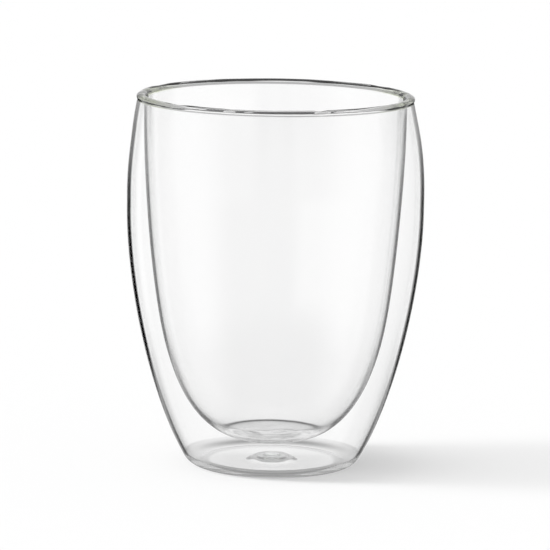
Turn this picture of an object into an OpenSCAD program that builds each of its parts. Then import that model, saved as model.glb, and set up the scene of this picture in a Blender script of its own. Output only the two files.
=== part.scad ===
// Double walled glass cup: a blown bowl welded at the rim inside a blown outer wall,
// with an air space between them and a vented, plugged floor under the bowl.
// Millimetres, +Z up, origin at the middle of the standing ring, on the table.

/* [Outer wall] */
// Height of the cup, from the table to the top of the rim
cup_h = 114; // [106:1:124]
// Outside diameter at the belly, the widest place
belly_d = 90.4; // [84:0.4:98]
// Height of the belly above the table
belly_h = 79; // [72:1:84]
// Distance that the outer wall draws in on each side, from the belly to the rim
draw_in = 3.25; // [1.5:0.25:5]
// Lean of the outer wall under the rim, inwards from upright, in degrees
shoulder_lean = 11.5; // [6:0.5:16]
// Thickness of the outer wall
outer_wall = 0.9; // [0.8:0.1:1.4]

/* [Foot] */
// Outside diameter of the flat ring that the cup stands on
foot_d = 44; // [40:0.5:50]
// Width of the flat ring that the cup stands on
ring_w = 4; // [3:0.2:6]
// Outside radius of the rounded heel above the ring
heel_r = 6; // [4:0.5:8]
// Slope of the outer wall above the heel, up from level, in degrees
heel_slope = 60; // [54:1:66]
// Thickness of the glass floor
floor_t = 1.1; // [0.9:0.1:2]
// Height that the floor is pushed up between the ring and the middle
kick_h = 0.4; // [0.2:0.1:1.2]

/* [Vent] */
// Diameter of the vent hole in the floor
vent_d = 5; // [3:0.5:6]
// Height that the boss round the vent rises out of the floor
boss_h = 1.2; // [1:0.1:2]
// Width of the boss's level top outside the vent hole
boss_land = 2.3; // [2.2:0.1:3]
// Width of the boss's sloping side
boss_side = 3.2; // [2.4:0.2:5.2]
// Thickness of the seal's head, in the hollow under the boss
seal_head_t = 1.1; // [0.8:0.1:1.2]
// Width that the seal's head reaches past the vent hole
seal_lip = 2; // [1:0.1:2.1]
// Height of the seal's rounded tip above the boss
seal_tip_h = 0.6; // [0.3:0.1:0.9]
// Gap between the seal and the glass round it
seal_gap = 0.05; // [0.02:0.01:0.1]

/* [Bowl] */
// Thickness of the bowl's wall
bowl_wall = 0.9; // [0.8:0.1:1.4]
// Thickness of the bowl's bottom, in the middle
bowl_floor_t = 2.6; // [1.8:0.1:3.4]
// Clear gap between the bowl and the boss in the cup's floor
bowl_gap = 4.3; // [2:0.1:6]
// Clear gap between the two walls at the rim
rim_gap = 1.3; // [0.8:0.1:2]
// Height of the straight part of the bowl's mouth, under the rim
mouth_h = 7.5; // [6:0.5:10]
// Clear gap between the two walls at the bowl's hip
hip_gap = 5.9; // [4.5:0.1:7.5]
// Lean of the bowl's wall at the hip, outwards from upright, in degrees
hip_lean = 15; // [11:0.5:18]

/* [Rim] */
// Height of the fused rim bead
rim_h = 2; // [1.6:0.1:3]
// Height of the bead's widest place above the wall's top
rim_bulge_h = 1; // [0.8:0.1:1.4]
// Distance that the bead stands out past the outer wall
rim_proud = 0.2; // [0.1:0.1:0.8]

/* [Hidden] */
$fn = 96;

// Colours of the clear glass and of the clear seal
glass_colour = [0.90, 0.94, 0.94, 0.4];
seal_colour = [0.86, 0.88, 0.87];

// Handles of the outer wall's curves, as shares of each curve's height
heel_share = 0.28;
belly_low_share = 0.31;
belly_high_share = 0.2;
shoulder_share = 0.56;
// Where the wall's inside leaves the outer curve for the floor, and how it turns
corner_share = 0.02;
corner_wall_share = 0.4;
corner_floor_share = 0.45;
// Where the bowl's hip lies on the outer wall's lower curve
hip_share = 0.475;
// Handles of the bowl's curves: the upper pair, then the lower pair
hip_up_share = 0.25;
mouth_share = 0.22;
hip_down_share = 0.55;
bottom_share = 0.495;
// Part of the bowl's lower curve over which its bottom is thick
thick_share = 0.62;

// Number of steps along each kind of curve
WALL_STEPS = 22;
SMALL_STEPS = 12;

belly_r = belly_d / 2;
foot_r = foot_d / 2;
ring_r = foot_r - ring_w;
vent_r = vent_d / 2;
boss_top_r = vent_r + boss_land;
boss_foot_r = boss_top_r + boss_side;
weld_h = cup_h - rim_h;
shoulder_r = belly_r - draw_in;
mouth_out_r = shoulder_r - outer_wall / cos(shoulder_lean) - rim_gap;
mouth_r = mouth_out_r - bowl_wall;
straight_h = weld_h - mouth_h;
bowl_low_h = floor_t + kick_h + boss_h + bowl_gap;

// Point and direction on a cubic curve with corners c, at t from 0 to 1
function curve_point(c, t) =
    pow(1 - t, 3) * c[0] + 3 * t * pow(1 - t, 2) * c[1] + 3 * t * t * (1 - t) * c[2] + pow(t, 3) * c[3];
function curve_way(c, t) =
    pow(1 - t, 2) * (c[1] - c[0]) + 2 * t * (1 - t) * (c[2] - c[1]) + t * t * (c[3] - c[2]);

// Point at a depth inside the glass, square to the curve and towards the cup's axis
function inside_point(c, t, depth) =
    let (way = curve_way(c, t))
    curve_point(c, t) + depth * [-way[1], way[0]] / norm(way);

// Points from one end of a curve to the other, the first one left out
function curve_points(c, steps) = [for (i = [1:steps]) curve_point(c, i / steps)];

// Height of the pushed-up floor at a distance from the axis: the kick-up and the vent boss
function half_wave(share) = (1 + cos(180 * min(1, max(0, share)))) / 2;
function floor_rise(r) =
    kick_h * half_wave(r / ring_r) + boss_h * half_wave((r - boss_top_r) / boss_side);

// Radii across the floor, from the vent hole to the standing ring
floor_radii = concat(
    [for (i = [0:SMALL_STEPS]) vent_r + (boss_foot_r - vent_r) * i / SMALL_STEPS],
    [for (i = [1:SMALL_STEPS]) boss_foot_r + (ring_r - boss_foot_r) * i / SMALL_STEPS]);

// Outer face of the outer wall: heel to belly, and belly to shoulder
heel_end = [foot_r + heel_r * sin(heel_slope), heel_r * (1 - cos(heel_slope))];
low_h = belly_h - heel_end[1];
high_h = weld_h - belly_h;
low_curve = [
    heel_end,
    heel_end + heel_share * low_h * [cos(heel_slope), sin(heel_slope)],
    [belly_r, belly_h - belly_low_share * low_h],
    [belly_r, belly_h]];
high_curve = [
    [belly_r, belly_h],
    [belly_r, belly_h + belly_high_share * high_h],
    [shoulder_r, weld_h] + shoulder_share * high_h * [sin(shoulder_lean), -cos(shoulder_lean)],
    [shoulder_r, weld_h]];

// Inside corner of the outer shell, where its wall thickens into the floor
corner_top = inside_point(low_curve, corner_share, outer_wall);
corner_way = curve_way(low_curve, corner_share) / norm(curve_way(low_curve, corner_share));
corner_size = norm(corner_top - [ring_r, floor_t]);
corner_curve = [
    corner_top,
    corner_top - corner_wall_share * corner_size * corner_way,
    [ring_r + corner_floor_share * corner_size, floor_t],
    [ring_r, floor_t]];

// Outer face of the bowl: bottom to hip, and hip to the straight mouth
hip = curve_point(low_curve, hip_share) - [outer_wall + hip_gap, 0];
hip_way = [sin(hip_lean), cos(hip_lean)];
bottom_size = norm(hip - [0, bowl_low_h]);
bottom_curve = [
    [0, bowl_low_h],
    [bottom_share * hip[0], bowl_low_h],
    hip - hip_down_share * bottom_size * hip_way,
    hip];
side_curve = [
    hip,
    hip + hip_up_share * (straight_h - hip[1]) * hip_way,
    [mouth_out_r, straight_h - mouth_share * (straight_h - hip[1])],
    [mouth_out_r, straight_h]];

// Thickness of the bowl along its lower curve
function bottom_t(t) = bowl_wall + (bowl_floor_t - bowl_wall) * half_wave(t / thick_share);

// The blown outer wall with its heel, standing ring, floor and vent hole
module outer_shell() {
    heel_arc = [for (i = [1:SMALL_STEPS]) let (a = heel_slope * i / SMALL_STEPS)
        [foot_r + heel_r * sin(a), heel_r * (1 - cos(a))]];
    wall_inside = concat(
        [[shoulder_r - outer_wall / cos(shoulder_lean), weld_h]],
        [for (i = [SMALL_STEPS:-1:1]) inside_point(high_curve, i / SMALL_STEPS, outer_wall)],
        [for (i = [WALL_STEPS:-1:1])
            inside_point(low_curve, corner_share + (1 - corner_share) * i / WALL_STEPS, outer_wall)],
        [corner_top]);
    under = [for (r = floor_radii) [r, floor_rise(r)]];
    floor_top = [for (i = [len(floor_radii) - 2:-1:0])
        [floor_radii[i], floor_t + floor_rise(floor_radii[i])]];
    outline = concat(
        under,
        [[foot_r, 0]],
        heel_arc,
        curve_points(low_curve, WALL_STEPS),
        curve_points(high_curve, SMALL_STEPS),
        wall_inside,
        curve_points(corner_curve, SMALL_STEPS),
        floor_top);
    color(glass_colour) rotate_extrude() polygon(outline);
}

// The blown bowl that holds the drink, thicker at its bottom
module inner_bowl() {
    outer_face = concat(
        [bottom_curve[0]],
        curve_points(bottom_curve, WALL_STEPS),
        curve_points(side_curve, WALL_STEPS),
        [[mouth_out_r, weld_h]]);
    inner_face = concat(
        [[mouth_r, weld_h]],
        [for (i = [WALL_STEPS:-1:1]) inside_point(side_curve, i / WALL_STEPS, bowl_wall)],
        [for (i = [WALL_STEPS:-1:0])
            inside_point(bottom_curve, i / WALL_STEPS, bottom_t(i / WALL_STEPS))]);
    color(glass_colour) rotate_extrude() polygon(concat(outer_face, inner_face));
}

// The bead of glass where the two walls are fused: round on top, bulging outwards,
// with a small arch under it that closes the air space
module rim_bead() {
    crest_r = (mouth_r + shoulder_r + rim_proud) / 2;
    out_r = shoulder_r + rim_proud;
    gap_mid_r = mouth_out_r + rim_gap / 2;
    bulge_h = weld_h + rim_bulge_h;
    inner_quarter = [for (i = [0:SMALL_STEPS]) let (a = 90 * i / SMALL_STEPS)
        [crest_r - (crest_r - mouth_r) * cos(a), weld_h + rim_h * sin(a)]];
    outer_quarter = [for (i = [1:SMALL_STEPS]) let (a = 90 * i / SMALL_STEPS)
        [crest_r + (out_r - crest_r) * sin(a), bulge_h + (cup_h - bulge_h) * cos(a)]];
    under_bulge = [for (i = [1:SMALL_STEPS]) let (share = i / SMALL_STEPS)
        [shoulder_r + rim_proud * half_wave(share), bulge_h - rim_bulge_h * share]];
    arch = [for (i = [0:SMALL_STEPS]) let (a = 180 * i / SMALL_STEPS)
        [gap_mid_r + rim_gap / 2 * cos(a), weld_h + rim_gap / 2 * sin(a)]];
    color(glass_colour)
        rotate_extrude() polygon(concat(inner_quarter, outer_quarter, under_bulge, arch));
}

// The clear seal that plugs the vent: a head under the boss, a shank through the
// hole and a rounded tip inside the air space
module vent_seal() {
    head_r = vent_r + seal_lip;
    shank_r = vent_r - seal_gap;
    boss_under_h = floor_rise(vent_r);
    head_low_h = boss_under_h - seal_gap - seal_head_t;
    tip_low_h = boss_under_h + floor_t;
    edge_r = seal_head_t / 2;
    head_face = [for (i = [SMALL_STEPS:-1:0]) let (r = shank_r + (head_r - shank_r) * i / SMALL_STEPS)
        [r, floor_rise(r) - seal_gap]];
    head_edge = [for (i = [0:SMALL_STEPS]) let (a = 90 * i / SMALL_STEPS)
        [head_r - edge_r + edge_r * sin(a), head_low_h + edge_r * (1 - cos(a))]];
    tip = [for (i = [0:SMALL_STEPS]) let (a = 90 * i / SMALL_STEPS)
        [shank_r * cos(a), tip_low_h + seal_tip_h * sin(a)]];
    color(seal_colour)
        rotate_extrude() polygon(concat([[0, head_low_h]], head_edge, head_face, tip));
}

outer_shell();
inner_bowl();
rim_bead();
vent_seal();
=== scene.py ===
"""Dresses the double walled glass cup: clear blown glass round an air space, on a white table.

Lengths are in metres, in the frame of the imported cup: +Z up, origin in the middle of the standing ring.
"""

import math
from functools import partial

import bpy
from bpy.props import FloatProperty, FloatVectorProperty, IntProperty, PointerProperty
from bpy.types import Operator, Panel, PropertyGroup
from mathutils import Matrix, Vector


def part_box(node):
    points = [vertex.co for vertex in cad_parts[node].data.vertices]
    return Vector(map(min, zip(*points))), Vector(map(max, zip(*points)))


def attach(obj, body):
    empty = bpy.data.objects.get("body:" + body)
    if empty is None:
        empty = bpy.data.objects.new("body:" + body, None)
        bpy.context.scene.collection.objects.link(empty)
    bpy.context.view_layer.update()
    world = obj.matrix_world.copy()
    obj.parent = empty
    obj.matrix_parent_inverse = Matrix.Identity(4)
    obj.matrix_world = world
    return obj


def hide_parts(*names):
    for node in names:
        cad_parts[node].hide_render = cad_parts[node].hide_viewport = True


bl_info = {
    "name": "Double walled glass cup",
    "version": (1, 0, 0),
    "blender": (4, 5, 0),
    "location": "View3D > Sidebar > Glass cup",
    "description": "Builds the cup's glass pieces, its vent seal and a white table around the packed model",
    "category": "Object",
}

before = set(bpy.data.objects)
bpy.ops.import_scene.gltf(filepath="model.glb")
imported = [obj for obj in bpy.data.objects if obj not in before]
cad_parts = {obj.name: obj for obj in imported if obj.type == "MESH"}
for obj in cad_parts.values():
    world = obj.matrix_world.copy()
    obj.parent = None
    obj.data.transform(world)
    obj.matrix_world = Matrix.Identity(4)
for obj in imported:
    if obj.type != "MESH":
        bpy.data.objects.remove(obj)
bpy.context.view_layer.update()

MM = 0.001

SHELL_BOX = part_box("outer_shell")
BOWL_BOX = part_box("inner_bowl")
BEAD_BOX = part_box("rim_bead")
SEAL_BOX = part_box("vent_seal")


class CupSizes(PropertyGroup):
    """Sizes of the cup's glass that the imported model's boxes don't give."""

    wall: FloatProperty(
        name="Wall", description="Thickness of both blown walls", default=0.9 * MM, min=0, unit="LENGTH")
    heel_radius: FloatProperty(
        name="Heel radius", description="Outside radius of the heel", default=6.0 * MM, min=0, unit="LENGTH")
    heel_slope: FloatProperty(
        name="Heel slope", description="Slope of the wall above the heel, up from level",
        default=math.radians(60), subtype="ANGLE")
    foot_radius: FloatProperty(
        name="Foot radius", description="Outside radius of the standing ring",
        default=22.0 * MM, min=0, unit="LENGTH")
    ring_width: FloatProperty(
        name="Ring width", description="Width of the flat standing ring",
        default=4.0 * MM, min=0, unit="LENGTH")
    floor: FloatProperty(
        name="Floor", description="Thickness of the glass floor", default=1.1 * MM, min=0, unit="LENGTH")
    kick: FloatProperty(
        name="Kick-up", description="Height that the floor is pushed up", default=0.4 * MM, unit="LENGTH")
    belly_height: FloatProperty(
        name="Belly height", description="Height of the widest place", default=79 * MM, unit="LENGTH")
    draw_in: FloatProperty(
        name="Draw-in", description="Distance the wall draws in from belly to rim",
        default=3.25 * MM, unit="LENGTH")
    shoulder_lean: FloatProperty(
        name="Shoulder lean", description="Lean of the outer wall under the rim",
        default=math.radians(11.5), subtype="ANGLE")
    vent_radius: FloatProperty(
        name="Vent radius", description="Radius of the vent hole", default=2.5 * MM, unit="LENGTH")
    boss_height: FloatProperty(
        name="Boss height", description="Rise of the boss round the vent", default=1.2 * MM, unit="LENGTH")
    boss_land: FloatProperty(
        name="Boss land", description="Width of the boss's level top", default=2.3 * MM, unit="LENGTH")
    boss_side: FloatProperty(
        name="Boss side", description="Width of the boss's slope", default=3.2 * MM, unit="LENGTH")
    bowl_floor: FloatProperty(
        name="Bowl floor", description="Thickness of the bowl's bottom", default=2.6 * MM, unit="LENGTH")
    rim_gap: FloatProperty(
        name="Rim gap", description="Clear gap between the walls at the rim",
        default=1.3 * MM, unit="LENGTH")
    hip_gap: FloatProperty(
        name="Hip gap", description="Clear gap between the walls at the hip",
        default=5.9 * MM, unit="LENGTH")
    hip_lean: FloatProperty(
        name="Hip lean", description="Lean of the bowl's wall at the hip",
        default=math.radians(15), subtype="ANGLE")
    mouth_height: FloatProperty(
        name="Mouth height", description="Height of the straight part of the mouth",
        default=7.5 * MM, unit="LENGTH")
    bulge_height: FloatProperty(
        name="Bulge height", description="Height of the bead's widest place above the walls",
        default=1.0 * MM, unit="LENGTH")
    rim_proud: FloatProperty(
        name="Rim proud", description="Distance the bead stands out past the outer wall",
        default=0.2 * MM, unit="LENGTH")
    seal_gap: FloatProperty(
        name="Seal gap", description="Gap between the seal and the glass",
        default=0.05 * MM, min=0, unit="LENGTH")
    bowl_shift: FloatProperty(
        name="Bowl shift", description="Distance that the bowl and the rim sit to one side",
        default=0.4 * MM, unit="LENGTH")
    rim_dip: FloatProperty(
        name="Rim dip", description="Depth of the dips in the rim bead", default=0.3 * MM, unit="LENGTH")
    rim_slump: FloatProperty(
        name="Rim slump", description="How far the bead's crown sank all round when it was fused",
        default=0.2 * MM, unit="LENGTH")
    rim_wave: FloatProperty(
        name="Rim wave", description="Height of the slow waves in the rim bead",
        default=0.05 * MM, unit="LENGTH")
    pool_rise: FloatProperty(
        name="Pool rise", description="Level of the bowl's thick bottom above its plain thickness",
        default=0.5 * MM, unit="LENGTH")
    pool_edge: FloatProperty(
        name="Pool edge", description="Softness of the edge where the thick bottom meets the wall",
        default=0.4 * MM, min=0, unit="LENGTH")
    pool_wave: FloatProperty(
        name="Pool wave", description="Height of the waves in the bowl's thick bottom",
        default=0.18 * MM, unit="LENGTH")
    segments: IntProperty(
        name="Segments", description="Number of steps round the cup", default=360, min=32, max=1024)


class CupLook(PropertyGroup):
    """Colours and finish of the cup's glass and its seal."""

    glass_tint: FloatVectorProperty(
        name="Glass tint", description="Colour of the clear glass", subtype="COLOR", size=4,
        default=(0.998, 0.998, 0.998, 1), min=0, max=1)
    # Painted shade: the colour that the glass takes where it is seen nearly edge on, for dark lines at its
    # edges
    painted_edge_shade_tint: FloatVectorProperty(
        name="Edge tint", description="Colour of light that runs far inside a wall", subtype="COLOR", size=4,
        default=(0.1, 0.1, 0.1, 1), min=0, max=1)
    streak_tint: FloatVectorProperty(
        name="Streak tint", description="Colour of the faint streaks in the walls", subtype="COLOR", size=4,
        default=(0.995, 0.995, 0.996, 1), min=0, max=1)
    # Painted tint: the green that the bead takes towards its sides, where the camera looks along it
    painted_rim_side_tint: FloatVectorProperty(
        name="Rim tint", description="Colour of the streaks where the rim was fused", subtype="COLOR",
        size=4, default=(0.74, 0.8, 0.56, 1), min=0, max=1)
    seal_tint: FloatVectorProperty(
        name="Seal tint", description="Colour of the clear seal", subtype="COLOR", size=4,
        default=(0.95, 0.96, 0.955, 1), min=0, max=1)
    seal_cloud_tint: FloatVectorProperty(
        name="Seal cloud tint", description="Colour of the clouds in the seal", subtype="COLOR", size=4,
        default=(0.86, 0.88, 0.87, 1), min=0, max=1)
    glass_ior: FloatProperty(
        name="Glass index", description="Refractive index of the glass", default=1.473, min=1, max=2)


# Handles of the outer wall's curves, as shares of each curve's height
HEEL_SHARE = 0.28
BELLY_LOW_SHARE = 0.31
BELLY_HIGH_SHARE = 0.2
SHOULDER_SHARE = 0.56
# Where the wall's inside leaves the outer curve for the floor, and how it turns
CORNER_SHARE = 0.02
CORNER_WALL_SHARE = 0.4
CORNER_FLOOR_SHARE = 0.45
# Where the bowl's hip lies on the outer wall's lower curve
HIP_SHARE = 0.475
# Handles of the bowl's curves: the upper pair, then the lower pair
HIP_UP_SHARE = 0.25
MOUTH_SHARE = 0.22
HIP_DOWN_SHARE = 0.55
BOTTOM_SHARE = 0.495

# Steps along each long curve and each short one
WALL_STEPS = 120
SMALL_STEPS = 24
# A point nearer than this to the axis is on it
ON_AXIS = 1e-7

# Heights, as shares of the cup's, between which the outer wall and the bowl lean over to the rim's shift
SHELL_SHIFT_SHARES = (0.84, 0.98)
BOWL_SHIFT_SHARES = (0.26, 0.66)
BOWL_SHIFT_LEAST_SHARE = 0.25
# Waves round the rim bead: number, turn in radians, share of the wave's height
RIM_WAVES = ((5, 0.4, 0.5), (9, 2.1, 0.35), (16, 1.0, 0.25), (27, 3.7, 0.15))
# Dips in the rim bead: heading and half width in degrees from +X, share of the dip's depth
RIM_DIPS = ((-71, 4, 1), (-136, 8, 0.8), (-109, 4, 0.4), (38, 7, 0.5), (152, 9, 0.5))
# Waves in the bowl's thick bottom: distance between crests in millimetres, heading in degrees from +X, turn
# in radians, share of the wave's height
POOL_WAVES = ((17, 35, 0.3, 0.5), (11, 100, 1.9, 0.3), (7.5, 155, 4.0, 0.2))
# Part of the bowl's radius that the waves in its bottom reach
POOL_SHARE = 0.5


def shares(steps, first=0):
    """Shares from first/steps to 1."""
    return [i / steps for i in range(first, steps + 1)]


def half_wave(share):
    """1 at 0, falling smoothly to 0 at 1."""
    return (1 + math.cos(math.pi * min(1, max(0, share)))) / 2


def ramp(value, low, high):
    """0 below low, 1 above high, and a smooth rise between."""
    return half_wave((high - value) / (high - low))


def pool_wave(x, y):
    """Height of the crossing waves in the bowl's thick bottom, from -1 to 1 at most."""
    height = 0
    for crest, way, turn, part in POOL_WAVES:
        along = x * math.cos(math.radians(way)) + y * math.sin(math.radians(way))
        height += part * math.sin(2 * math.pi * along / (crest * MM) + turn)
    return height


class Curve:
    """A cubic curve in the (radius, height) plane."""

    def __init__(self, *corners):
        self.corners = [Vector(corner) for corner in corners]

    def point(self, t):
        """The point at a share t of the curve."""
        a, b, c, d = self.corners
        return (1 - t) ** 3 * a + 3 * t * (1 - t) ** 2 * b + 3 * t * t * (1 - t) * c + t**3 * d

    def way(self, t):
        """The curve's direction at a share t."""
        a, b, c, d = self.corners
        return ((1 - t) ** 2 * (b - a) + 2 * t * (1 - t) * (c - b) + t * t * (d - c)).normalized()

    def inside(self, t, depth):
        """The point at a depth square to the curve, towards the cup's axis."""
        way = self.way(t)
        return self.point(t) + depth * Vector((-way.y, way.x))


class Profile:
    """The cup's section, as (radius, height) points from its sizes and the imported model's boxes."""

    def __init__(self, sizes):
        self.sizes = sizes
        self.cup_h = BEAD_BOX[1].z
        self.weld_h = BEAD_BOX[0].z
        self.ring_r = sizes.foot_radius - sizes.ring_width
        self.shoulder_r = SHELL_BOX[1].x - sizes.draw_in
        self.shell_in_r = self.shoulder_r - sizes.wall / math.cos(sizes.shoulder_lean)
        self.mouth_out_r = self.shell_in_r - sizes.rim_gap
        self.mouth_r = self.mouth_out_r - sizes.wall
        self.boss_top_r = sizes.vent_radius + sizes.boss_land
        self.draw_outer_wall()
        self.draw_inner_corner()
        self.draw_bowl()

    def heel_point(self, share):
        """A point of the heel's round, from the standing ring's edge to the wall."""
        sizes = self.sizes
        turn = sizes.heel_slope * share
        return (
            sizes.foot_radius + sizes.heel_radius * math.sin(turn),
            sizes.heel_radius * (1 - math.cos(turn)))

    def draw_outer_wall(self):
        """The outer wall's outside: a curve from the heel to the belly, and one on to the shoulder."""
        sizes = self.sizes
        belly_r = SHELL_BOX[1].x
        heel = sizes.heel_slope
        lean = sizes.shoulder_lean
        heel_end = Vector(self.heel_point(1))
        low_h = sizes.belly_height - heel_end.y
        high_h = self.weld_h - sizes.belly_height
        shoulder = Vector((self.shoulder_r, self.weld_h))
        self.low_wall = Curve(
            heel_end,
            heel_end + HEEL_SHARE * low_h * Vector((math.cos(heel), math.sin(heel))),
            (belly_r, sizes.belly_height - BELLY_LOW_SHARE * low_h),
            (belly_r, sizes.belly_height))
        self.high_wall = Curve(
            (belly_r, sizes.belly_height),
            (belly_r, sizes.belly_height + BELLY_HIGH_SHARE * high_h),
            shoulder + SHOULDER_SHARE * high_h * Vector((math.sin(lean), -math.cos(lean))),
            shoulder)

    def draw_inner_corner(self):
        """The air space's low corner, from the wall's inside to the floor's top at the standing ring."""
        top = self.low_wall.inside(CORNER_SHARE, self.sizes.wall)
        ring = Vector((self.ring_r, self.sizes.floor))
        size = (top - ring).length
        self.corner = Curve(
            top,
            top - CORNER_WALL_SHARE * size * self.low_wall.way(CORNER_SHARE),
            ring + Vector((CORNER_FLOOR_SHARE * size, 0)),
            ring)

    def draw_bowl(self):
        """The bowl's outside: a curve from its bottom to its hip, and one on to its straight mouth."""
        sizes = self.sizes
        low_bowl = BOWL_BOX[0].z
        straight_h = self.weld_h - sizes.mouth_height
        hip = self.low_wall.point(HIP_SHARE) - Vector((sizes.wall + sizes.hip_gap, 0))
        hip_way = Vector((math.sin(sizes.hip_lean), math.cos(sizes.hip_lean)))
        side_h = straight_h - hip.y
        self.bottom = Curve(
            (0, low_bowl),
            (BOTTOM_SHARE * hip.x, low_bowl),
            hip - HIP_DOWN_SHARE * (hip - Vector((0, low_bowl))).length * hip_way,
            hip)
        self.side = Curve(
            hip,
            hip + HIP_UP_SHARE * side_h * hip_way,
            (self.mouth_out_r, straight_h - MOUTH_SHARE * side_h),
            (self.mouth_out_r, straight_h))

    def floor_rise(self, r):
        """Height of the pushed-up floor: the kick-up and the vent boss."""
        sizes = self.sizes
        kick = sizes.kick * half_wave(r / self.ring_r)
        return kick + sizes.boss_height * half_wave((r - self.boss_top_r) / sizes.boss_side)

    def floor_radii(self):
        """Radii of the floor's points, from the vent out to the standing ring."""
        vent_r = self.sizes.vent_radius
        boss_foot_r = self.boss_top_r + self.sizes.boss_side
        inner = [vent_r + (boss_foot_r - vent_r) * k for k in shares(SMALL_STEPS)]
        outer = [boss_foot_r + (self.ring_r - boss_foot_r) * k for k in shares(SMALL_STEPS, 1)]
        return inner + outer

    def shell_outside(self):
        """From the vent's lower edge, under the floor, round the heel and up the wall."""
        return (
            [(r, self.floor_rise(r)) for r in self.floor_radii()]
            + [(self.sizes.foot_radius, 0)]
            + [self.heel_point(k) for k in shares(SMALL_STEPS, 1)]
            + [self.low_wall.point(k) for k in shares(WALL_STEPS, 1)]
            + [self.high_wall.point(k) for k in shares(WALL_STEPS // 2, 1)])

    def shell_inside(self):
        """From the wall's top, down the air space's side and across the floor to the vent."""
        sizes = self.sizes
        low = [CORNER_SHARE + (1 - CORNER_SHARE) * k for k in shares(WALL_STEPS)]
        return (
            [(self.shell_in_r, self.weld_h)]
            + [self.high_wall.inside(k, sizes.wall) for k in reversed(shares(WALL_STEPS // 2, 1))]
            + [self.low_wall.inside(k, sizes.wall) for k in reversed(low)]
            + [self.corner.point(k) for k in shares(SMALL_STEPS, 1)]
            + [(r, sizes.floor + self.floor_rise(r)) for r in reversed(self.floor_radii()[:-1])])

    def pool(self, r, z):
        """A point of the bowl's inner wall, raised to the level that the thick bottom's glass ran out to."""
        sizes = self.sizes
        level = BOWL_BOX[0].z + sizes.bowl_floor + sizes.pool_rise
        return r, (z + level + math.hypot(z - level, sizes.pool_edge)) / 2

    def bowl_inside(self):
        """From the mouth down to the middle of the bowl's bottom, on the drink's side."""
        sizes = self.sizes
        down = shares(WALL_STEPS)[:-1][::-1]
        return (
            [(self.mouth_r, self.weld_h - sizes.mouth_height * k) for k in shares(SMALL_STEPS)]
            + [self.side.inside(k, sizes.wall) for k in down]
            + [self.pool(*self.bottom.inside(k, sizes.wall)) for k in down])

    def bowl_outside(self):
        """From the middle of the bottom up to the mouth, on the air space's side."""
        mouth_h = self.sizes.mouth_height
        return (
            [self.bottom.point(k) for k in shares(WALL_STEPS)]
            + [self.side.point(k) for k in shares(WALL_STEPS, 1)]
            + [(self.mouth_out_r, self.weld_h - mouth_h * (1 - k)) for k in shares(SMALL_STEPS, 1)])

    def bead_crown(self):
        """From the outer wall's top, out round the bulge and over to the bowl's mouth."""
        sizes = self.sizes
        out_r = self.shoulder_r + sizes.rim_proud
        crest_r = (self.mouth_r + out_r) / 2
        bulge_h = self.weld_h + sizes.bulge_height
        top_h = self.cup_h - bulge_h
        rim_h = self.cup_h - self.weld_h
        quarter = [math.pi / 2 * k for k in shares(SMALL_STEPS, 1)]
        bulge = [
            (self.shoulder_r + sizes.rim_proud * half_wave(1 - k), self.weld_h + sizes.bulge_height * k)
            for k in shares(SMALL_STEPS)]
        outer = [(crest_r + (out_r - crest_r) * math.cos(a), bulge_h + top_h * math.sin(a)) for a in quarter]
        inner = [
            (crest_r - (crest_r - self.mouth_r) * math.sin(a), self.weld_h + rim_h * math.cos(a))
            for a in quarter]
        return bulge + outer + inner

    def bead_arch(self):
        """The small arch that closes the top of the air space."""
        arch_r = self.sizes.rim_gap / 2
        middle = self.mouth_out_r + arch_r
        return [
            (middle - arch_r * math.cos(math.pi * k), self.weld_h + arch_r * math.sin(math.pi * k))
            for k in shares(SMALL_STEPS)]

    def seal(self):
        """The vent seal, from the middle of its head to the middle of its tip."""
        sizes = self.sizes
        low, high = SEAL_BOX
        head_r = high.x
        shank_r = sizes.vent_radius - sizes.seal_gap
        head_top = self.floor_rise(sizes.vent_radius) - sizes.seal_gap
        edge = (head_top - low.z) / 2
        tip_low = self.floor_rise(sizes.vent_radius) + sizes.floor
        quarter = [math.pi / 2 * k for k in shares(SMALL_STEPS)]
        land = [head_r + (shank_r - head_r) * k for k in shares(SMALL_STEPS)]
        return (
            [(0, low.z)]
            + [(head_r - edge + edge * math.sin(a), low.z + edge * (1 - math.cos(a))) for a in quarter]
            + [(r, self.floor_rise(r) - sizes.seal_gap) for r in land]
            + [(shank_r * math.cos(a), tip_low + (high.z - tip_low) * math.sin(a)) for a in quarter])


def shell_shape(profile, x, y, z):
    """The outer wall leans over a little under the rim."""
    share = ramp(z / profile.cup_h, *SHELL_SHIFT_SHARES)
    return x - profile.sizes.bowl_shift * share, y, z


def bowl_shape(profile, x, y, z):
    """The bowl hangs a little to one side, and its thick bottom set in slow waves."""
    sizes = profile.sizes
    over = ramp(z / profile.cup_h, *BOWL_SHIFT_SHARES)
    share = BOWL_SHIFT_LEAST_SHARE + (1 - BOWL_SHIFT_LEAST_SHARE) * over
    reach = POOL_SHARE * profile.mouth_r
    lift = sizes.pool_wave * pool_wave(x, y) * half_wave(math.hypot(x, y) / reach)
    low_down = ramp(sizes.belly_height - z, 0, reach)
    return x - sizes.bowl_shift * share, y, z + lift * low_down


def bead_shape(profile, x, y, z):
    """The bead was fused by hand, so its crown waves and dips as it goes round."""
    sizes = profile.sizes
    turn = math.atan2(y, x)
    wave = sum(part * math.sin(number * turn + start) for number, start, part in RIM_WAVES)
    dip = sum(
        part * half_wave(abs(math.degrees(turn) - way) / wide) for way, wide, part in RIM_DIPS)
    crown = ramp(z, profile.weld_h, profile.cup_h)
    lift = crown * (sizes.rim_wave * wave - sizes.rim_dip * dip - sizes.rim_slump)
    return x - sizes.bowl_shift, y, z + lift


def band(low, high):
    """Faces between two rings of vertices, facing away from the glass."""
    corners = zip(low, low[1:] + low[:1], high[1:] + high[:1], high)
    return [list(dict.fromkeys(face)) for face in corners]


def ring_edges(ring):
    """The edges of a ring of vertices, each as a sorted pair."""
    return {tuple(sorted(pair)) for pair in zip(ring, ring[1:] + ring[:1])}


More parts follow.
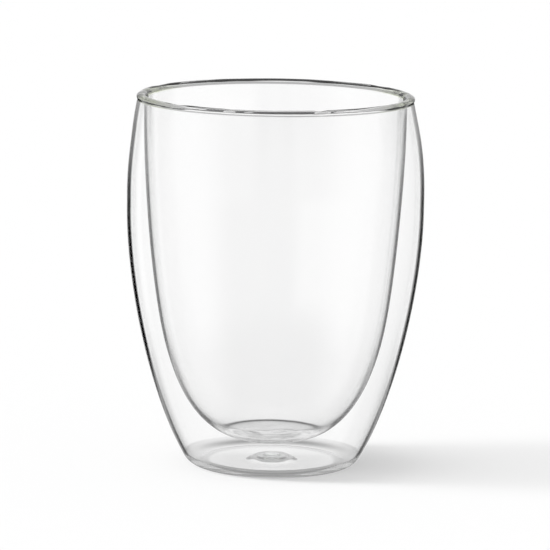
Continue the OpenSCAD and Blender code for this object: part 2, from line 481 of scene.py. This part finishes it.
def lathe(name, runs, segments, caps=(), shape=None):
    """Turns runs of (radius, height) points round the Z axis into one mesh.

    A point on the axis becomes one vertex. Each cap joins two runs' ends, given as (run, end, run, end),
    and goes to the second material slot with sharp edges. A shape moves each vertex from its turned place.
    """
    verts, faces, rings = [], [], []
    turn = [
        (math.cos(2 * math.pi * i / segments), math.sin(2 * math.pi * i / segments))
        for i in range(segments)]
    for run in runs:
        made = []
        for r, z in run:
            start = len(verts)
            if r < ON_AXIS:
                verts.append((0, 0, z))
                made.append([start] * segments)
            else:
                verts += [(r * c, r * s, z) for c, s in turn]
                made.append(list(range(start, start + segments)))
        rings.append(made)
        for low, high in zip(made, made[1:]):
            faces += band(low, high)
    if shape:
        verts = [shape(*vert) for vert in verts]
    turned = len(faces)
    cap_edges = set()
    for run_a, end_a, run_b, end_b in caps:
        low, high = rings[run_a][end_a], rings[run_b][end_b]
        faces += band(low, high)
        cap_edges |= ring_edges(low) | ring_edges(high)
    mesh = bpy.data.meshes.new(name)
    mesh.from_pydata(verts, [], faces)
    mesh.polygons.foreach_set("use_smooth", [True] * len(faces))
    mesh.polygons.foreach_set("material_index", [0] * turned + [1] * (len(faces) - turned))
    for edge in mesh.edges:
        if tuple(sorted(edge.vertices)) in cap_edges:
            edge.use_edge_sharp = True
    mesh.validate()
    mesh.update()
    piece = bpy.data.objects.new(name, mesh)
    bpy.context.scene.collection.objects.link(piece)
    return piece


def dress(piece, node, materials):
    """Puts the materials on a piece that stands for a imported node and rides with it."""
    for material in materials:
        piece.data.materials.append(material)
    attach(piece, "root")
    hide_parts(node)


def nodes_of(owner):
    """The emptied node tree of a material or a world."""
    owner.use_nodes = True
    tree = owner.node_tree
    tree.nodes.clear()
    return tree


def add(tree, kind, values=(), **settings):
    """A node with its settings and its inputs' values or links, keyed by socket name or number."""
    node = tree.nodes.new(kind)
    for key, value in settings.items():
        setattr(node, key, value)
    for key, value in dict(values).items():
        if isinstance(value, bpy.types.NodeSocket):
            tree.links.new(value, node.inputs[key])
        else:
            node.inputs[key].default_value = value
    return node


def new_group(name, inputs, outputs):
    """An empty node group with sockets given as (name, kind), its input sockets and its output node."""
    tree = bpy.data.node_groups.new(name, "ShaderNodeTree")
    for label, kind in inputs:
        tree.interface.new_socket(label, in_out="INPUT", socket_type="NodeSocket" + kind)
    for label, kind in outputs:
        tree.interface.new_socket(label, in_out="OUTPUT", socket_type="NodeSocket" + kind)
    return tree, tree.nodes.new("NodeGroupInput").outputs, tree.nodes.new("NodeGroupOutput")


def math_node(tree, operation, *values):
    """The result of a Math node on sockets or numbers."""
    return add(tree, "ShaderNodeMath", dict(enumerate(values)), operation=operation).outputs[0]


def mix_value(tree, share, first, second):
    """The first value at share 0 and the second at share 1."""
    return add(tree, "ShaderNodeMix", {0: share, 2: first, 3: second}, data_type="FLOAT").outputs[0]


def mix_colour(tree, share, first, second):
    """The first colour at share 0 and the second at share 1."""
    return add(tree, "ShaderNodeMix", {0: share, 6: first, 7: second}, data_type="RGBA").outputs[2]


def mix_shader(tree, share, first, second):
    """The first shader node at share 0 and the second at share 1."""
    return add(tree, "ShaderNodeMixShader", {0: share, 1: first.outputs[0], 2: second.outputs[0]})


def smooth_step(tree, value, none, full):
    """0 on the far side of none, 1 on the far side of full, and a smooth change between the two."""
    node = add(tree, "ShaderNodeMapRange", {
        "Value": value, "From Min": none, "From Max": full}, interpolation_type="SMOOTHSTEP")
    return node.outputs["Result"]


def band_mask(tree, value, start, full, fading, end):
    """1 between two values, falling smoothly to 0 on both sides."""
    return math_node(
        tree, "MULTIPLY", smooth_step(tree, value, start, full), smooth_step(tree, value, end, fading))


# Streaks in the glass are drawn out upwards, and begin and are full at these values of their noise
STREAK_DRAW_SHARE = 0.3
STREAK_EDGES = (0.5, 0.75)
STREAK_DETAIL = 3
STREAK_ROUGHNESS = 0.55
# Streaks and ripples per metre, and the ripples' height, in the walls and in the rim
WALL_STREAKS = 90
WALL_RIPPLES = 60
WALL_RIPPLE_HEIGHT = 0.003 * MM
RIM_STREAKS = 260
RIM_RIPPLES = 75
RIM_RIPPLE_HEIGHT = 0.9 * MM
# Distances to the side, as shares of the belly's radius, between which the bead turns greener: a painted
# tint for looking a long way through the bead where the camera sees it end on
PAINTED_TINT_SIDE_SHARES = (0.6, 0.9)
# How green the bead is between its streaks
RIM_BETWEEN_SHARE = 0.5
# Layer Weight's Blend at which its Facing runs plainly from 0, seen square on, to 1, seen edge on
PLAIN_BLEND = 0.5
# Facing values between which the glass turns dark as it is seen more edge on: painted shade that draws
# dark lines along its edges, far darker than light running a long way inside the wall would make it
PAINTED_EDGE_SHADE_FACINGS = (0.83, 0.91)
# What each surface lets through to the table: the strongly bent foot turns most of the light away
FOOT_SHADE_TINT = (0.8, 0.8, 0.8, 1)
WALL_SHADE_TINT = (0.975, 0.975, 0.975, 1)
SHADE_HEIGHTS = (3 * MM, 14 * MM)
# The seal: refractive index, clouds and grains per metre, grain height, and roughness clear and cloudy
SEAL_IOR = 1.41
SEAL_CLOUDS = 500
SEAL_GRAINS = 4000
SEAL_GRAIN_HEIGHT = 0.05 * MM
SEAL_GRAIN_STRENGTH = 0.3
SEAL_ROUGHNESS = (0.01, 0.05)


def blown_glass_group():
    """Blown glass: slow ripples in its surface and faint streaks in its colour, drawn out upwards."""
    name = "blown_glass"
    if name in bpy.data.node_groups:
        return bpy.data.node_groups[name]
    tree, given, result = new_group(
        name,
        (("Clear Color", "Color"), ("Streak Color", "Color"), ("Streaks per Metre", "Float"),
         ("Ripples per Metre", "Float"), ("Ripple Height", "Float")),
        (("Color", "Color"), ("Height", "Float")))
    where = add(tree, "ShaderNodeTexCoord").outputs["Object"]
    drawn = add(tree, "ShaderNodeMapping", {"Vector": where, "Scale": (1, 1, STREAK_DRAW_SHARE)}).outputs[0]
    streaks = add(tree, "ShaderNodeTexNoise", {
        "Vector": drawn, "Scale": given["Streaks per Metre"],
        "Detail": STREAK_DETAIL, "Roughness": STREAK_ROUGHNESS}).outputs["Fac"]
    ripples = add(tree, "ShaderNodeTexNoise", {
        "Vector": drawn, "Scale": given["Ripples per Metre"], "Detail": 1}).outputs["Fac"]
    mask = smooth_step(tree, streaks, *STREAK_EDGES)
    colour = mix_colour(tree, mask, given["Clear Color"], given["Streak Color"])
    tree.links.new(colour, result.inputs["Color"])
    tree.links.new(math_node(tree, "MULTIPLY", ripples, given["Ripple Height"]), result.inputs["Height"])
    return tree


def glass_with(tree, blown, look):
    """Clear glass with painted shade where seen edge on, that lets the lamps' light through to the table."""
    bump = add(tree, "ShaderNodeBump", {"Strength": 1, "Distance": 1, "Height": blown.outputs["Height"]})
    facing = add(tree, "ShaderNodeLayerWeight", {"Blend": PLAIN_BLEND}).outputs["Facing"]
    # Painted shade: the glass's colour goes dark where it is seen nearly edge on, drawing dark lines at its
    # edges
    painted_edge_shade = smooth_step(tree, facing, *PAINTED_EDGE_SHADE_FACINGS)
    shader = add(tree, "ShaderNodeBsdfPrincipled", {
        "Base Color": mix_colour(tree, painted_edge_shade, blown.outputs["Color"], look.painted_edge_shade_tint),
        "Roughness": 0,
        "IOR": look.glass_ior,
        "Transmission Weight": 1,
        "Normal": bump.outputs[0],
    })
    where = add(tree, "ShaderNodeTexCoord").outputs["Object"]
    up = add(tree, "ShaderNodeSeparateXYZ", {0: where}).outputs[2]
    shade = mix_colour(tree, smooth_step(tree, up, *SHADE_HEIGHTS), FOOT_SHADE_TINT, WALL_SHADE_TINT)
    clear = add(tree, "ShaderNodeBsdfTransparent", {"Color": shade})
    path = add(tree, "ShaderNodeLightPath").outputs
    lighting = math_node(tree, "MAXIMUM", path["Is Shadow Ray"], path["Is Diffuse Ray"])
    add(tree, "ShaderNodeOutputMaterial", {"Surface": mix_shader(tree, lighting, shader, clear).outputs[0]})


def wall_glass(name, look):
    """The walls' glass, nearly colourless."""
    material = bpy.data.materials.new(name)
    tree = nodes_of(material)
    blown = add(tree, "ShaderNodeGroup", {
        "Clear Color": look.glass_tint,
        "Streak Color": look.streak_tint,
        "Streaks per Metre": WALL_STREAKS,
        "Ripples per Metre": WALL_RIPPLES,
        "Ripple Height": WALL_RIPPLE_HEIGHT,
    }, node_tree=blown_glass_group())
    glass_with(tree, blown, look)
    return material


def rim_glass(look):
    """The bead's glass, in streaks that are painted greener on both sides, where the camera looks along it.
    """
    material = bpy.data.materials.new("rim_glass")
    tree = nodes_of(material)
    where = add(tree, "ShaderNodeTexCoord").outputs["Object"]
    sideways = math_node(tree, "ABSOLUTE", add(tree, "ShaderNodeSeparateXYZ", {0: where}).outputs[0])
    # Painted tint: greener towards both sides, where the camera looks a long way through the bead
    painted_side_tint = smooth_step(tree, sideways, *(share * SHELL_BOX[1].x for share in PAINTED_TINT_SIDE_SHARES))
    streak = mix_colour(tree, painted_side_tint, look.glass_tint, look.painted_rim_side_tint)
    blown = add(tree, "ShaderNodeGroup", {
        "Clear Color": mix_colour(tree, RIM_BETWEEN_SHARE, look.glass_tint, streak),
        "Streak Color": streak,
        "Streaks per Metre": RIM_STREAKS,
        "Ripples per Metre": RIM_RIPPLES,
        "Ripple Height": RIM_RIPPLE_HEIGHT,
    }, node_tree=blown_glass_group())
    glass_with(tree, blown, look)
    return material


def fused_joint():
    """Fused glass at the joints under the bead, where no surface is left."""
    material = bpy.data.materials.new("fused_joint")
    tree = nodes_of(material)
    clear = add(tree, "ShaderNodeBsdfTransparent")
    add(tree, "ShaderNodeOutputMaterial", {"Surface": clear.outputs[0]})
    return material


def clear_seal(look):
    """Clear sealing compound, a little cloudy inside and faintly grained outside."""
    material = bpy.data.materials.new("vent_seal")
    tree = nodes_of(material)
    where = add(tree, "ShaderNodeTexCoord").outputs["Object"]
    clouds = add(tree, "ShaderNodeTexNoise", {
        "Vector": where, "Scale": SEAL_CLOUDS, "Detail": 3}).outputs["Fac"]
    grain = add(tree, "ShaderNodeTexNoise", {
        "Vector": where, "Scale": SEAL_GRAINS, "Detail": 2}).outputs["Fac"]
    bump = add(tree, "ShaderNodeBump", {
        "Strength": SEAL_GRAIN_STRENGTH, "Distance": SEAL_GRAIN_HEIGHT, "Height": grain})
    rough = add(tree, "ShaderNodeMapRange", {
        "Value": clouds, "To Min": SEAL_ROUGHNESS[0], "To Max": SEAL_ROUGHNESS[1]})
    shader = add(tree, "ShaderNodeBsdfPrincipled", {
        "Base Color": mix_colour(tree, clouds, look.seal_tint, look.seal_cloud_tint),
        "Roughness": rough.outputs["Result"],
        "IOR": SEAL_IOR,
        "Transmission Weight": 1,
        "Normal": bump.outputs[0],
    })
    add(tree, "ShaderNodeOutputMaterial", {"Surface": shader.outputs[0]})
    return material


# The photograph's camera, fitted to the rim, the foot and both sides
CAMERA_BACK = 1.25
CAMERA_UP = 0.2656
CAMERA_RIGHT = 0.00017
CAMERA_DIP = math.radians(9.415)
CAMERA_ROLL = math.radians(0.859)
CAMERA_NEAR = 0.05
CAMERA_FAR = 50
SENSOR = 36
PICTURE_SIDE = 550
FOCAL_PIXELS = 4159

# How often light may bounce: what the walls trap runs round inside them for long
LIGHT_BOUNCES = 96
CLEAR_BOUNCES = 32

# The studio that the glass shows, by heading in degrees from straight behind the cup, left negative, and by
# degrees above level. Each pair of edges says where a glow begins and where it is full, and each four the
# same on both sides. Sides and back are soft white screens, and the wall behind the camera is dimmer
FRONT_GLOW = 0.67
FRONT_SIDES = (108, 145)
# The ceiling is dark, the far wall above the backdrop dim, and so is the table close behind the cup
ZENITH_GLOW = 0.22
ZENITH_HEIGHTS = (8, 26)
SKY_GLOW = 0.49
SKY_SIDES = (90, 81)
SKY_HEIGHTS = (-7, 22)
LOW_GLOW = 0.03
LOW_SIDES = (62, 12)
LOW_HEIGHTS = (-16, -22)
NADIR_GLOW = 0.7
NADIR_HEIGHTS = (-43, -60)
# A grey screen on the right
SCREEN_GLOW = 0.66
SCREEN_SIDES = (40, 43, 66, 80)
# Dark flags beside the white backdrop draw the glass's edges: which side, then four edges from the middle
# out. They are black between the middle two heights and fade to grey above and below
FLAGS = ((-1, 11, 13, 26, 31), (1, 10.5, 12, 21, 34))
FLAG_HEIGHTS = (-18, -15.5, -10, 0)
FLAG_GLOW = 0
FLAG_END_GLOW = 0.47
# A bright window behind the camera on its right, low down: its heading and height, and how far each way
WINDOW_HEADING = 135
WINDOW_HEIGHT = -15
WINDOW_SIDES = (32, 20)
WINDOW_ENDS = (13, 8)
# Half a turn in degrees
HALF_TURN = 180

# The studio's soft light on the table, apart from the lamps
AMBIENT = 0.35

TABLE_SIDE = 8.0
TABLE_DROP = 0.02 * MM
TABLE_WHITE = 0.8
# How much of the table's white is lit, and not its own glow
LIT_SHARE = 0.9
# The cup's soft shade on the table, seen in the glass: a bright floor inside the standing ring, and round it
# a ring that is dark in front and bright behind
FLOOR_GLOW = 0.95
RING_GLOWS = (0.28, 0.86)
# How far the ring's change from front to back reaches each way, as a share of the belly's radius
RING_REACH_SHARE = 0.44
# Radii between which the ring takes over from the floor, and, coming inwards, the ring begins and is full
FLOOR_RADII = (18.5 * MM, 20 * MM)
RING_RADII = (31.5 * MM, 21 * MM)

# A tall narrow light on the left, as suns one above the other: height in degrees and share of the light
LAMPS = ((12, 0.35), (22, 0.35), (36, 0.3))
LAMP_FROM = math.radians(181)
LAMP_ANGLE = math.radians(12)


def make_camera(scene):
    """The camera at the photograph's place."""
    data = bpy.data.cameras.new("camera")
    data.sensor_width = SENSOR
    data.lens = FOCAL_PIXELS * SENSOR / PICTURE_SIDE
    data.clip_start = CAMERA_NEAR
    data.clip_end = CAMERA_FAR
    camera = bpy.data.objects.new("camera", data)
    ahead = Vector((0, math.cos(CAMERA_DIP), -math.sin(CAMERA_DIP)))
    up = Vector((0, math.sin(CAMERA_DIP), math.cos(CAMERA_DIP)))
    right = Vector((1, 0, 0))
    c, s = math.cos(CAMERA_ROLL), math.sin(CAMERA_ROLL)
    turn = Matrix((c * right + s * up, c * up - s * right, -ahead)).transposed()
    camera.matrix_world = Matrix.Translation((CAMERA_RIGHT, -CAMERA_BACK, CAMERA_UP)) @ turn.to_4x4()
    scene.collection.objects.link(camera)
    scene.camera = camera


def studio_group():
    """Brightness of the studio in a direction: white backdrop, dark flags beside it, soft screens."""
    tree, given, result = new_group("studio", (("Direction", "Vector"),), (("Brightness", "Float"),))
    way = add(tree, "ShaderNodeSeparateXYZ", {0: given["Direction"]}).outputs
    heading = math_node(tree, "DEGREES", math_node(tree, "ARCTAN2", way[0], way[1]))
    height = math_node(tree, "DEGREES", math_node(tree, "ARCSINE", way[2]))
    aside = math_node(tree, "ABSOLUTE", heading)
    level = mix_value(tree, smooth_step(tree, aside, *FRONT_SIDES), 1.0, FRONT_GLOW)
    level = mix_value(tree, smooth_step(tree, height, *ZENITH_HEIGHTS), level, ZENITH_GLOW)
    level = mix_value(tree, band_mask(tree, heading, *SCREEN_SIDES), level, SCREEN_GLOW)
    flag = mix_value(tree, band_mask(tree, height, *FLAG_HEIGHTS), FLAG_END_GLOW, FLAG_GLOW)
    for side, *edges in FLAGS:
        mask = band_mask(tree, math_node(tree, "MULTIPLY", heading, side), *edges)
        level = mix_value(tree, mask, level, flag)
    sky = math_node(
        tree, "MULTIPLY", smooth_step(tree, aside, *SKY_SIDES), smooth_step(tree, height, *SKY_HEIGHTS))
    level = mix_value(tree, sky, level, SKY_GLOW)
    low = math_node(
        tree, "MULTIPLY", smooth_step(tree, aside, *LOW_SIDES), smooth_step(tree, height, *LOW_HEIGHTS))
    level = mix_value(tree, low, level, LOW_GLOW)
    level = mix_value(tree, smooth_step(tree, height, *NADIR_HEIGHTS), level, NADIR_GLOW)
    turned = math_node(tree, "SUBTRACT", heading, WINDOW_HEADING)
    beside = math_node(tree, "ABSOLUTE", math_node(tree, "WRAP", turned, -HALF_TURN, HALF_TURN))
    apart = math_node(tree, "ABSOLUTE", math_node(tree, "SUBTRACT", height, WINDOW_HEIGHT))
    window = math_node(
        tree, "MULTIPLY", smooth_step(tree, beside, *WINDOW_SIDES), smooth_step(tree, apart, *WINDOW_ENDS))
    level = mix_value(tree, window, level, 1.0)
    tree.links.new(level, result.inputs["Brightness"])
    return tree


def seen_in_glass(tree, path):
    """1 for light that reaches the camera by way of the glass alone."""
    seen = math_node(tree, "MAXIMUM", path["Is Glossy Ray"], path["Is Transmission Ray"])
    # The depth is a whole number, so under a half means that no matt surface scattered the light
    direct = math_node(tree, "LESS_THAN", path["Diffuse Depth"], 0.5)
    return math_node(tree, "MULTIPLY", seen, direct)


def make_world(scene):
    """White for the camera, the studio in the glass, and a plain soft light on the table."""
    world = bpy.data.worlds.new("studio")
    scene.world = world
    tree = nodes_of(world)
    path = add(tree, "ShaderNodeLightPath").outputs
    way = add(tree, "ShaderNodeTexCoord").outputs["Generated"]
    studio = add(tree, "ShaderNodeGroup", {"Direction": way}, node_tree=studio_group())
    lit = mix_value(tree, seen_in_glass(tree, path), AMBIENT, studio.outputs["Brightness"])
    shown = mix_value(tree, path["Is Camera Ray"], lit, 1.0)
    back = add(tree, "ShaderNodeBackground", {"Color": (1, 1, 1, 1), "Strength": shown})
    add(tree, "ShaderNodeOutputWorld", {"Surface": back.outputs[0]})


def table_white():
    """White with the cup's shadow, that gives way in the glass to the studio and the cup's soft shade."""
    material = bpy.data.materials.new("table_white")
    tree = nodes_of(material)
    glow = add(tree, "ShaderNodeEmission", {"Color": (1, 1, 1, 1), "Strength": 1.0})
    matt = add(tree, "ShaderNodeBsdfDiffuse", {"Color": (TABLE_WHITE, TABLE_WHITE, TABLE_WHITE, 1)})
    clear = add(tree, "ShaderNodeBsdfTransparent")
    where = add(tree, "ShaderNodeTexCoord").outputs["Object"]
    place = add(tree, "ShaderNodeSeparateXYZ", {0: where}).outputs
    flat = add(tree, "ShaderNodeCombineXYZ", {0: place[0], 1: place[1]}).outputs[0]
    radius = add(tree, "ShaderNodeVectorMath", {0: flat}, operation="LENGTH").outputs["Value"]
    reach = RING_REACH_SHARE * SHELL_BOX[1].x
    behind = smooth_step(tree, place[1], -reach, reach)
    ring_glow = mix_value(tree, behind, *RING_GLOWS)
    shade_glow = mix_value(tree, smooth_step(tree, radius, *FLOOR_RADII), FLOOR_GLOW, ring_glow)
    shade = add(tree, "ShaderNodeEmission", {"Color": (1, 1, 1, 1), "Strength": shade_glow})
    plain = mix_shader(tree, LIT_SHARE, glow, matt)
    in_glass = mix_shader(tree, smooth_step(tree, radius, *RING_RADII), clear, shade)
    seen = seen_in_glass(tree, add(tree, "ShaderNodeLightPath").outputs)
    add(tree, "ShaderNodeOutputMaterial", {"Surface": mix_shader(tree, seen, plain, in_glass).outputs[0]})
    return material


def make_table(scene):
    """A wide white table, a hair under the standing ring."""
    half = TABLE_SIDE / 2
    mesh = bpy.data.meshes.new("table")
    corners = [(-half, -half), (half, -half), (half, half), (-half, half)]
    mesh.from_pydata([(x, y, -TABLE_DROP) for x, y in corners], [], [(0, 1, 2, 3)])
    table = bpy.data.objects.new("table", mesh)
    scene.collection.objects.link(table)
    mesh.materials.append(table_white())


def make_lamps(scene):
    """Soft suns, just strong enough for the lit table to come out as white as its own glow."""
    for number, (degrees, part) in enumerate(LAMPS):
        height = math.radians(degrees)
        out = math.cos(height)
        data = bpy.data.lights.new(f"soft_lamp_{number}", "SUN")
        data.angle = LAMP_ANGLE
        data.energy = part * (1 / TABLE_WHITE - AMBIENT) * math.pi / math.sin(height)
        lamp = bpy.data.objects.new(data.name, data)
        lamp.location = (out * math.cos(LAMP_FROM), out * math.sin(LAMP_FROM), math.sin(height))
        lamp.rotation_euler = (-Vector(lamp.location)).to_track_quat("-Z", "Y").to_euler()
        lamp.visible_camera = False
        lamp.visible_glossy = False
        lamp.visible_transmission = False
        scene.collection.objects.link(lamp)


class GLASSCUP_OT_stage(Operator):
    """Set the white table, the soft light and the camera"""

    bl_idname = "glasscup.stage"
    bl_label = "Stage"

    def execute(self, context):
        scene = context.scene
        scene.view_settings.view_transform = "Standard"
        scene.cycles.max_bounces = LIGHT_BOUNCES
        scene.cycles.transmission_bounces = LIGHT_BOUNCES
        scene.cycles.glossy_bounces = LIGHT_BOUNCES
        scene.cycles.transparent_max_bounces = CLEAR_BOUNCES
        scene.cycles.caustics_reflective = False
        scene.cycles.caustics_refractive = False
        make_camera(scene)
        make_world(scene)
        make_table(scene)
        make_lamps(scene)
        return {"FINISHED"}


class GLASSCUP_OT_outer_shell(Operator):
    """Blow the outer shell: wall, heel, standing ring and vented floor"""

    bl_idname = "glasscup.outer_shell"
    bl_label = "Outer shell"

    def execute(self, context):
        sizes, look = context.scene.cup_sizes, context.scene.cup_look
        profile = Profile(sizes)
        runs = [profile.shell_inside() + profile.shell_outside()]
        caps = [(0, -1, 0, 0)]
        piece = lathe("outer_shell_glass", runs, sizes.segments, caps, partial(shell_shape, profile))
        dress(piece, "outer_shell", [wall_glass("outer_glass", look), fused_joint()])
        return {"FINISHED"}


class GLASSCUP_OT_inner_bowl(Operator):
    """Blow the bowl that holds the drink"""

    bl_idname = "glasscup.inner_bowl"
    bl_label = "Inner bowl"

    def execute(self, context):
        sizes, look = context.scene.cup_sizes, context.scene.cup_look
        profile = Profile(sizes)
        runs = [profile.bowl_inside(), profile.bowl_outside()]
        caps = [(1, -1, 0, 0)]
        piece = lathe("inner_bowl_glass", runs, sizes.segments, caps, partial(bowl_shape, profile))
        dress(piece, "inner_bowl", [wall_glass("bowl_glass", look), fused_joint()])
        return {"FINISHED"}


class GLASSCUP_OT_rim_bead(Operator):
    """Fuse the rim bead that joins the two walls"""

    bl_idname = "glasscup.rim_bead"
    bl_label = "Rim bead"

    def execute(self, context):
        sizes, look = context.scene.cup_sizes, context.scene.cup_look
        profile = Profile(sizes)
        runs = [profile.bead_crown(), profile.bead_arch()]
        caps = [(0, -1, 1, 0), (1, -1, 0, 0)]
        piece = lathe("rim_bead_glass", runs, sizes.segments, caps, partial(bead_shape, profile))
        dress(piece, "rim_bead", [rim_glass(look), fused_joint()])
        return {"FINISHED"}


class GLASSCUP_OT_vent_seal(Operator):
    """Mould the clear seal that plugs the vent"""

    bl_idname = "glasscup.vent_seal"
    bl_label = "Vent seal"

    def execute(self, context):
        sizes, look = context.scene.cup_sizes, context.scene.cup_look
        piece = lathe("vent_seal_moulding", [Profile(sizes).seal()], sizes.segments // 2)
        dress(piece, "vent_seal", [clear_seal(look)])
        return {"FINISHED"}


class GLASSCUP_PT_panel(Panel):
    """Lists the cup's steps in the 3D view's sidebar"""

    bl_label = "Glass cup"
    bl_space_type = "VIEW_3D"
    bl_region_type = "UI"
    bl_category = "Glass cup"

    def draw(self, context):
        for step in STEPS:
            self.layout.operator(step.bl_idname)


STEPS = (
    GLASSCUP_OT_stage,
    GLASSCUP_OT_outer_shell,
    GLASSCUP_OT_inner_bowl,
    GLASSCUP_OT_rim_bead,
    GLASSCUP_OT_vent_seal,
)
CLASSES = (CupSizes, CupLook, *STEPS, GLASSCUP_PT_panel)


def register():
    """Registers the cup's classes and puts its sizes and look on the scene."""
    for cls in CLASSES:
        bpy.utils.register_class(cls)
    bpy.types.Scene.cup_sizes = PointerProperty(type=CupSizes)
    bpy.types.Scene.cup_look = PointerProperty(type=CupLook)


def unregister():
    """Takes the cup's sizes, look and classes out again."""
    del bpy.types.Scene.cup_look
    del bpy.types.Scene.cup_sizes
    for cls in reversed(CLASSES):
        bpy.utils.unregister_class(cls)


def main():
    """Makes the stage and each piece."""
    register()
    bpy.ops.glasscup.stage()
    bpy.ops.glasscup.outer_shell()
    bpy.ops.glasscup.inner_bowl()
    bpy.ops.glasscup.rim_bead()
    bpy.ops.glasscup.vent_seal()


if __name__ == "__main__":
    main()
